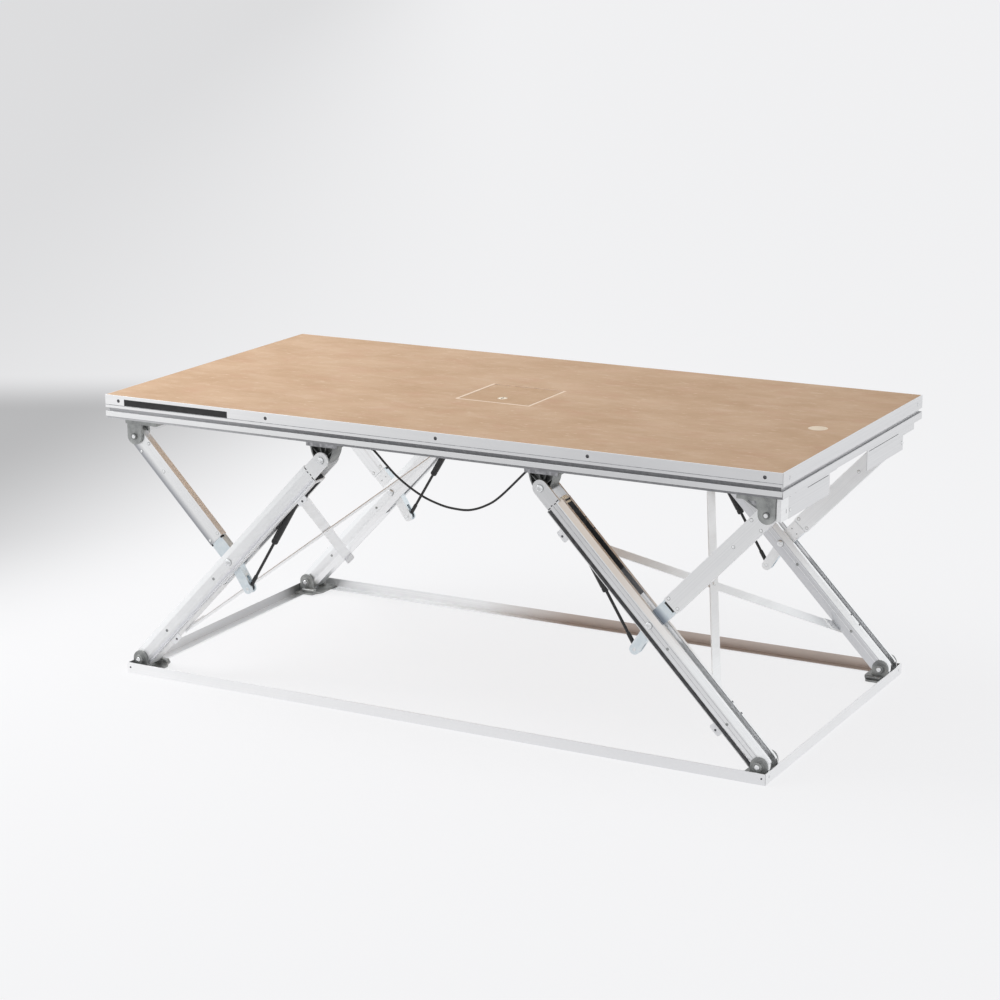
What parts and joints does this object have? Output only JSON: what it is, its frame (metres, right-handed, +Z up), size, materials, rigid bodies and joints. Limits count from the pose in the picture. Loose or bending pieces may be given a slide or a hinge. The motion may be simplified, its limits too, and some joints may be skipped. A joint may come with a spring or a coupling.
{
  "type": "folding platform table",
  "caption": "Folding DJ table: an aluminium-framed plywood deck that drops flat on scissor legs with gas springs, over an angle base frame.",
  "frame": {"origin": "on the floor under the middle of the table", "axes": "+X along the length of the table, +Y to its back, +Z up"},
  "size_m": [2, 1, 0.8],
  "materials": {
    "plywood": "fine-grained plywood, sealed and matt",
    "aluminium": "satin extruded aluminium",
    "casting": "dark grey cast aluminium with a fine sand texture",
    "zinc": "zinc-plated steel, satin",
    "black_steel": "black paint, semi-gloss",
    "black_sheath": "black cable sheath, satin"
  },
  "bodies": {
    "base": {"base_bar_front": "aluminium", "base_bar_back": "aluminium", "base_bar_left": "aluminium", "base_bar_right": "aluminium", "base_casting_left_front": "casting", "base_casting_left_back": "casting", "base_casting_right_front": "casting", "base_casting_right_back": "casting"},
    "left_legs": {"leg_left_front": "aluminium", "leg_left_back": "aluminium", "brace_upper_left": "aluminium", "brace_lower_left": "aluminium"},
    "right_legs": {"leg_right_front": "aluminium", "leg_right_back": "aluminium", "brace_upper_right": "aluminium", "brace_lower_right": "aluminium"},
    "left_front_strut": {"strut_left_front": "aluminium", "strut_bracket_left_front": "zinc"},
    "left_back_strut": {"strut_left_back": "aluminium", "strut_bracket_left_back": "zinc"},
    "right_front_strut": {"strut_right_front": "aluminium", "strut_bracket_right_front": "zinc"},
    "right_back_strut": {"strut_right_back": "aluminium", "strut_bracket_right_back": "zinc"},
    "left_front_slider": {"slider_left_front": "casting"},
    "left_back_slider": {"slider_left_back": "casting"},
    "right_front_slider": {"slider_right_front": "casting"},
    "right_back_slider": {"slider_right_back": "casting"},
    "left_front_spring_rod": {"spring_rod_left_front": "black_steel"},
    "left_back_spring_rod": {"spring_rod_left_back": "black_steel"},
    "right_front_spring_rod": {"spring_rod_right_front": "black_steel"},
    "right_back_spring_rod": {"spring_rod_right_back": "black_steel"},
    "left_front_spring_body": {"spring_body_left_front": "black_steel"},
    "left_back_spring_body": {"spring_body_left_back": "black_steel"},
    "right_front_spring_body": {"spring_body_right_front": "black_steel"},
    "right_back_spring_body": {"spring_body_right_back": "black_steel"},
    "deck": {"deck_board": "plywood", "rail_front": "aluminium", "rail_back": "aluminium", "rail_left": "aluminium", "rail_right": "aluminium", "cross_beam_left": "aluminium", "cross_beam_right": "aluminium", "hatch_tray": "zinc", "deck_casting_left_front": "casting", "deck_casting_left_back": "casting", "deck_casting_right_front": "casting", "deck_casting_right_back": "casting", "end_plate_left_front": "aluminium", "end_plate_left_back": "aluminium", "end_plate_right_front": "aluminium", "end_plate_right_back": "aluminium", "release_cable": "black_sheath", "cable_gland_left": "casting", "cable_gland_right": "casting"},
    "hatch": {"hatch_lid": "plywood"},
    "lock": {"hatch_lock": "zinc"},
    "pull": {"release_pull": "casting"}
  },
  "joints": [
    {"name": "fold", "type": "hinge", "parent": "base", "child": "left_legs", "pos_m": [-0.94, 0, 0.038], "axis": [0, 1, 0], "range_deg": [0, 41.5]},
    {"name": "right_legs_fold", "type": "hinge", "parent": "base", "child": "right_legs", "pos_m": [0.94, 0, 0.038], "axis": [0, 1, 0], "range_deg": [-41.6, 0]},
    {"name": "left_front_strut_turn", "type": "hinge", "parent": "left_legs", "child": "left_front_strut", "pos_m": [-0.63365, -0.434, 0.358], "axis": [0, 1, 0], "range_deg": [-83.2, 0]},
    {"name": "left_back_strut_turn", "type": "hinge", "parent": "left_legs", "child": "left_back_strut", "pos_m": [-0.63365, 0.434, 0.358], "axis": [0, 1, 0], "range_deg": [-83.2, 0]},
    {"name": "right_front_strut_turn", "type": "hinge", "parent": "right_legs", "child": "right_front_strut", "pos_m": [0.63365, -0.434, 0.358], "axis": [0, 1, 0], "range_deg": [0, 83.2]},
    {"name": "right_back_strut_turn", "type": "hinge", "parent": "right_legs", "child": "right_back_strut", "pos_m": [0.63365, 0.434, 0.358], "axis": [0, 1, 0], "range_deg": [0, 83.2]},
    {"name": "deck_turn", "type": "hinge", "parent": "left_front_strut", "child": "deck", "pos_m": [-0.94, -0.434, 0.678], "axis": [0, 1, 0], "range_deg": [0, 41.6]},
    {"name": "left_front_slider_turn", "type": "hinge", "parent": "left_legs", "child": "left_front_slider", "pos_m": [-0.3273, -0.434, 0.678], "axis": [0, 1, 0], "range_deg": [-41.6, 0]},
    {"name": "left_back_slider_turn", "type": "hinge", "parent": "left_legs", "child": "left_back_slider", "pos_m": [-0.3273, 0.434, 0.678], "axis": [0, 1, 0], "range_deg": [-41.6, 0]},
    {"name": "right_front_slider_turn", "type": "hinge", "parent": "right_legs", "child": "right_front_slider", "pos_m": [0.3273, -0.434, 0.678], "axis": [0, 1, 0], "range_deg": [0, 41.6]},
    {"name": "right_back_slider_turn", "type": "hinge", "parent": "right_legs", "child": "right_back_slider", "pos_m": [0.3273, 0.434, 0.678], "axis": [0, 1, 0], "range_deg": [0, 41.6]},
    {"name": "left_front_spring_turn", "type": "hinge", "parent": "left_front_strut", "child": "left_front_spring_rod", "pos_m": [-0.58577, -0.434, 0.2834], "axis": [0, 1, 0], "range_deg": [0, 86.9]},
    {"name": "left_back_spring_turn", "type": "hinge", "parent": "left_back_strut", "child": "left_back_spring_rod", "pos_m": [-0.58577, 0.434, 0.2834], "axis": [0, 1, 0], "range_deg": [0, 86.9]},
    {"name": "right_front_spring_turn", "type": "hinge", "parent": "right_front_strut", "child": "right_front_spring_rod", "pos_m": [0.58577, -0.434, 0.2834], "axis": [0, 1, 0], "range_deg": [-86.9, 0]},
    {"name": "right_back_spring_turn", "type": "hinge", "parent": "right_back_strut", "child": "right_back_spring_rod", "pos_m": [0.58577, 0.434, 0.2834], "axis": [0, 1, 0], "range_deg": [-86.9, 0]},
    {"name": "left_front_spring_slide", "type": "slide", "parent": "left_front_spring_rod", "child": "left_front_spring_body", "axis": [0.5174, 0, 0.8557], "range_m": [-0.112, 0]},
    {"name": "left_back_spring_slide", "type": "slide", "parent": "left_back_spring_rod", "child": "left_back_spring_body", "axis": [0.5174, 0, 0.8557], "range_m": [-0.112, 0]},
    {"name": "right_front_spring_slide", "type": "slide", "parent": "right_front_spring_rod", "child": "right_front_spring_body", "axis": [-0.5174, 0, 0.8557], "range_m": [-0.112, 0]},
    {"name": "right_back_spring_slide", "type": "slide", "parent": "right_back_spring_rod", "child": "right_back_spring_body", "axis": [-0.5174, 0, 0.8557], "range_m": [-0.112, 0]},
    {"name": "hatch_hinge", "type": "hinge", "parent": "deck", "child": "hatch", "pos_m": [0, 0.096, 0.791], "axis": [-1, 0, 0], "range_deg": [0, 95]},
    {"name": "hatch_lock_turn", "type": "hinge", "parent": "hatch", "child": "lock", "pos_m": [0, -0.053, 0.8], "axis": [0, 0, 1], "range_deg": [0, 90]},
    {"name": "release_pull_slide", "type": "slide", "parent": "deck", "child": "pull", "axis": [1, 0, 0], "range_m": [0, 0.03], "stiffness_N_per_m": 300}
  ],
  "couplings": [
    {"joint": "right_legs_fold", "follows": "fold", "ratio": -1},
    {"joint": "left_front_strut_turn", "follows": "fold", "ratio": -2},
    {"joint": "left_back_strut_turn", "follows": "fold", "ratio": -2},
    {"joint": "right_front_strut_turn", "follows": "fold", "ratio": 2},
    {"joint": "right_back_strut_turn", "follows": "fold", "ratio": 2},
    {"joint": "deck_turn", "follows": "fold", "ratio": 1},
    {"joint": "left_front_slider_turn", "follows": "fold", "ratio": -1},
    {"joint": "left_back_slider_turn", "follows": "fold", "ratio": -1},
    {"joint": "right_front_slider_turn", "follows": "fold", "ratio": 1},
    {"joint": "right_back_slider_turn", "follows": "fold", "ratio": 1},
    {"joint": "left_front_spring_turn", "follows": "fold", "ratio": 2.09},
    {"joint": "left_back_spring_turn", "follows": "fold", "ratio": 2.09},
    {"joint": "right_front_spring_turn", "follows": "fold", "ratio": -2.09},
    {"joint": "right_back_spring_turn", "follows": "fold", "ratio": -2.09},
    {"joint": "left_front_spring_slide", "follows": "fold", "m_per_rad": -0.15395},
    {"joint": "left_back_spring_slide", "follows": "fold", "m_per_rad": -0.15395},
    {"joint": "right_front_spring_slide", "follows": "fold", "m_per_rad": -0.15395},
    {"joint": "right_back_spring_slide", "follows": "fold", "m_per_rad": -0.15395}
  ]
}
